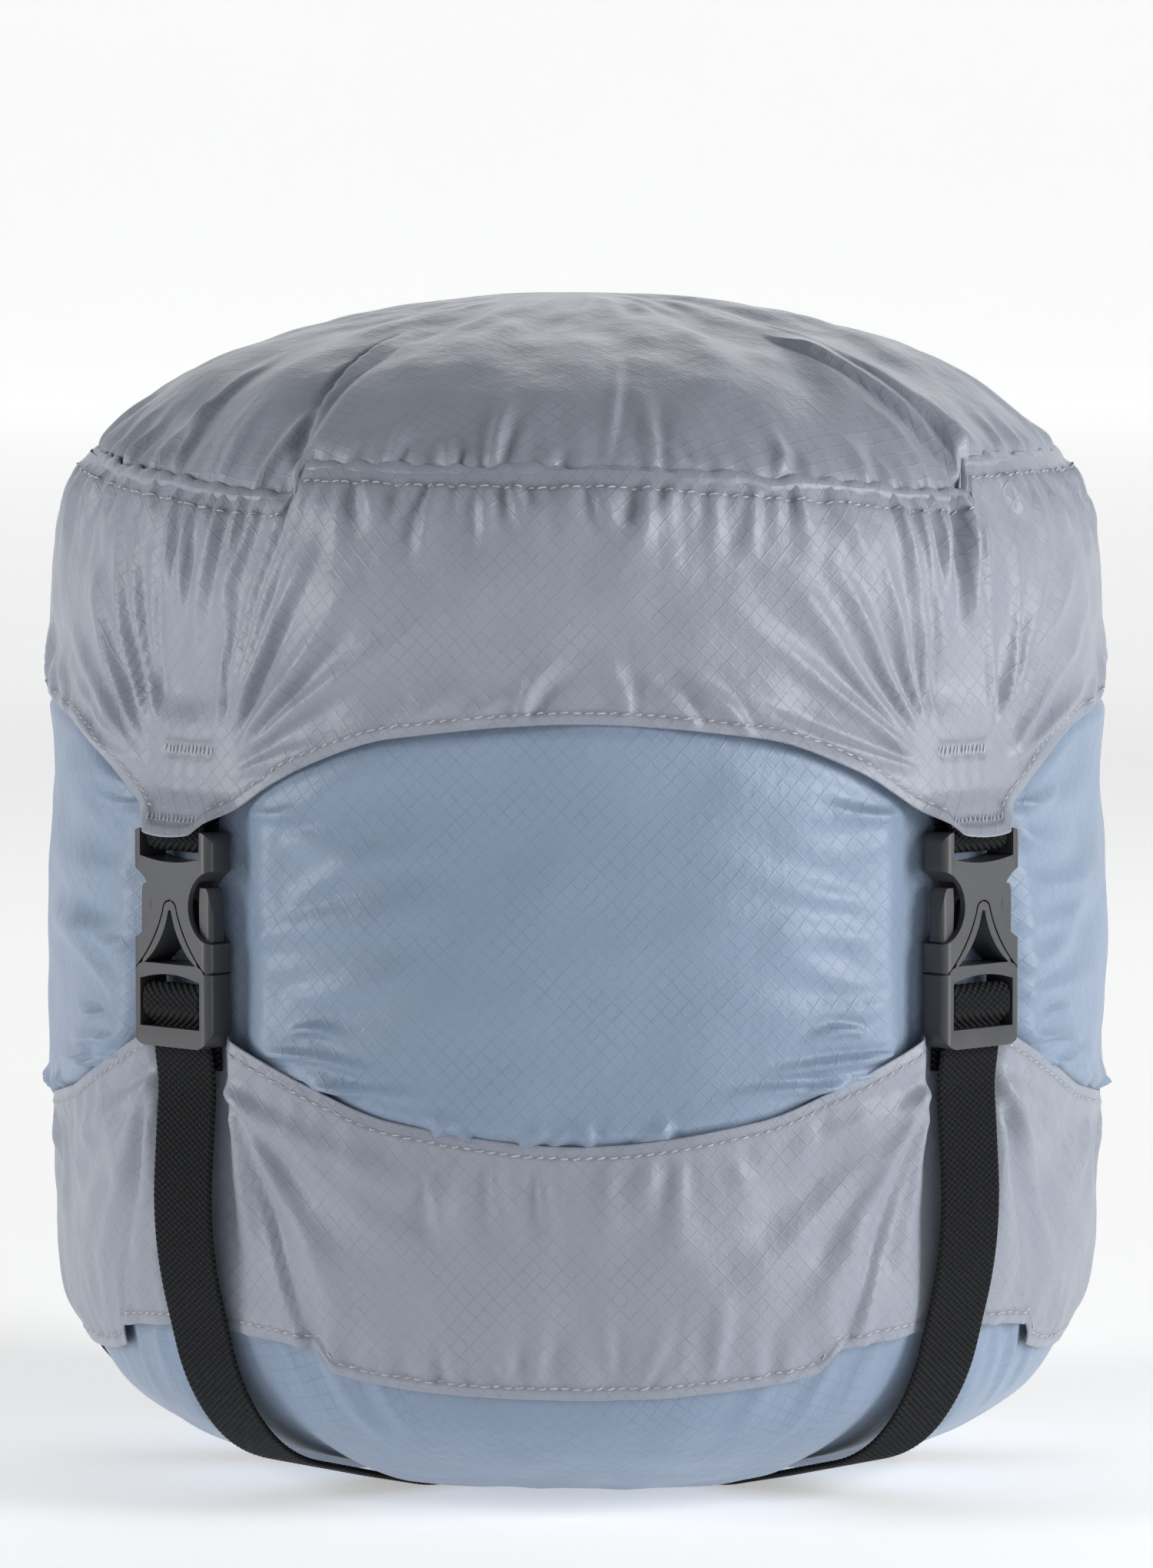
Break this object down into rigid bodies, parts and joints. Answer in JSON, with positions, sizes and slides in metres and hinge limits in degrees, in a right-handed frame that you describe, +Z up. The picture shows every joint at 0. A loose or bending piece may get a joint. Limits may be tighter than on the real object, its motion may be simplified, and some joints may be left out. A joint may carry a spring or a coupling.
{
  "type": "compression sack",
  "caption": "Stuffed round drawcord sack with a scalloped cap and base harness, joined by buckled webbing straps that squeeze it short.",
  "frame": {"origin": "on the surface the sack stands on, under the middle of its base", "axes": "+Z up along the sack's axis, front towards -Y, the four straps on the diagonals between X and Y"},
  "size_m": [0.262, 0.262, 0.288],
  "materials": {
    "sack_ripstop": "satin ripstop nylon",
    "harness_ripstop": "satin ripstop nylon",
    "webbing": "woven, matt",
    "buckle_plastic": "satin moulded acetal",
    "cord_lock_plastic": "satin",
    "drawcord": "braided",
    "spring_wire": "drawn wire",
    "thread": "sewn"
  },
  "bodies": {
    "root": {"sack_base": "sack_ripstop", "sack_wall": "sack_ripstop", "gathered_top": "sack_ripstop", "mouth_hem": "sack_ripstop", "drawcord": "drawcord", "cord_lock_barrel": "cord_lock_plastic", "cord_lock_spring": "spring_wire", "base_skirt": "harness_ripstop", "skirt_bartacks": "thread", "grab_handle": "webbing", "strap_front_left": "webbing", "strap_front_right": "webbing", "strap_back_right": "webbing", "strap_back_left": "webbing"},
    "cord_lock_button": {"cord_lock_plunger": "cord_lock_plastic"},
    "plugs": {"plug_front_left": "buckle_plastic", "plug_front_right": "buckle_plastic", "plug_back_right": "buckle_plastic", "plug_back_left": "buckle_plastic"},
    "lid": {"lid_side": "harness_ripstop", "lid_top": "harness_ripstop", "lid_seam": "harness_ripstop", "lid_bartacks": "thread", "socket_loop_front_left": "webbing", "socket_loop_front_right": "webbing", "socket_loop_back_right": "webbing", "socket_loop_back_left": "webbing", "socket_front_left": "buckle_plastic", "socket_front_right": "buckle_plastic", "socket_back_right": "buckle_plastic", "socket_back_left": "buckle_plastic"},
    "prong_right_front_left": {"prong_right_front_left": "buckle_plastic"},
    "prong_left_front_left": {"prong_left_front_left": "buckle_plastic"},
    "prong_right_front_right": {"prong_right_front_right": "buckle_plastic"},
    "prong_left_front_right": {"prong_left_front_right": "buckle_plastic"},
    "prong_right_back_right": {"prong_right_back_right": "buckle_plastic"},
    "prong_left_back_right": {"prong_left_back_right": "buckle_plastic"},
    "prong_right_back_left": {"prong_right_back_left": "buckle_plastic"},
    "prong_left_back_left": {"prong_left_back_left": "buckle_plastic"}
  },
  "joints": [
    {"name": "strap_adjust", "type": "slide", "parent": "root", "child": "plugs", "axis": [0, 0, 1], "range_m": [0, 0.06], "deforming": ["strap_front_left", "strap_front_right", "strap_back_right", "strap_back_left"]},
    {"name": "lid_lift", "type": "slide", "parent": "plugs", "child": "lid", "axis": [0, 0, 1], "range_m": [0, 0.16]},
    {"name": "cord_lock_press", "type": "slide", "parent": "root", "child": "cord_lock_button", "axis": [0, 0, -1], "range_m": [0, 0.0045], "stiffness_N_per_m": 700, "springref_m": -0.003, "deforming": ["cord_lock_spring"]},
    {"name": "squeeze_right_front_left", "type": "hinge", "parent": "plugs", "child": "prong_right_front_left", "pos_m": [-0.0857, -0.10069, 0.1326], "axis": [-0.7071, -0.7071, 0], "range_deg": [0, 5.5], "stiffness_Nm_per_rad": 0.06},
    {"name": "squeeze_left_front_left", "type": "hinge", "parent": "plugs", "child": "prong_left_front_left", "pos_m": [-0.10069, -0.0857, 0.1326], "axis": [-0.7071, -0.7071, 0], "range_deg": [-5.5, 0], "stiffness_Nm_per_rad": 0.06},
    {"name": "squeeze_right_front_right", "type": "hinge", "parent": "plugs", "child": "prong_right_front_right", "pos_m": [0.10069, -0.0857, 0.1326], "axis": [0.7071, -0.7071, 0], "range_deg": [0, 5.5], "stiffness_Nm_per_rad": 0.06},
    {"name": "squeeze_left_front_right", "type": "hinge", "parent": "plugs", "child": "prong_left_front_right", "pos_m": [0.0857, -0.10069, 0.1326], "axis": [0.7071, -0.7071, 0], "range_deg": [-5.5, 0], "stiffness_Nm_per_rad": 0.06},
    {"name": "squeeze_right_back_right", "type": "hinge", "parent": "plugs", "child": "prong_right_back_right", "pos_m": [0.0857, 0.10069, 0.1326], "axis": [0.7071, 0.7071, 0], "range_deg": [0, 5.5], "stiffness_Nm_per_rad": 0.06},
    {"name": "squeeze_left_back_right", "type": "hinge", "parent": "plugs", "child": "prong_left_back_right", "pos_m": [0.10069, 0.0857, 0.1326], "axis": [0.7071, 0.7071, 0], "range_deg": [-5.5, 0], "stiffness_Nm_per_rad": 0.06},
    {"name": "squeeze_right_back_left", "type": "hinge", "parent": "plugs", "child": "prong_right_back_left", "pos_m": [-0.10069, 0.0857, 0.1326], "axis": [-0.7071, 0.7071, 0], "range_deg": [0, 5.5], "stiffness_Nm_per_rad": 0.06},
    {"name": "squeeze_left_back_left", "type": "hinge", "parent": "plugs", "child": "prong_left_back_left", "pos_m": [-0.0857, 0.10069, 0.1326], "axis": [-0.7071, 0.7071, 0], "range_deg": [-5.5, 0], "stiffness_Nm_per_rad": 0.06}
  ],
  "couplings": [
    {"joint": "squeeze_left_front_left", "follows": "squeeze_right_front_left", "ratio": -1},
    {"joint": "squeeze_left_front_right", "follows": "squeeze_right_front_right", "ratio": -1},
    {"joint": "squeeze_left_back_right", "follows": "squeeze_right_back_right", "ratio": -1},
    {"joint": "squeeze_left_back_left", "follows": "squeeze_right_back_left", "ratio": -1}
  ]
}
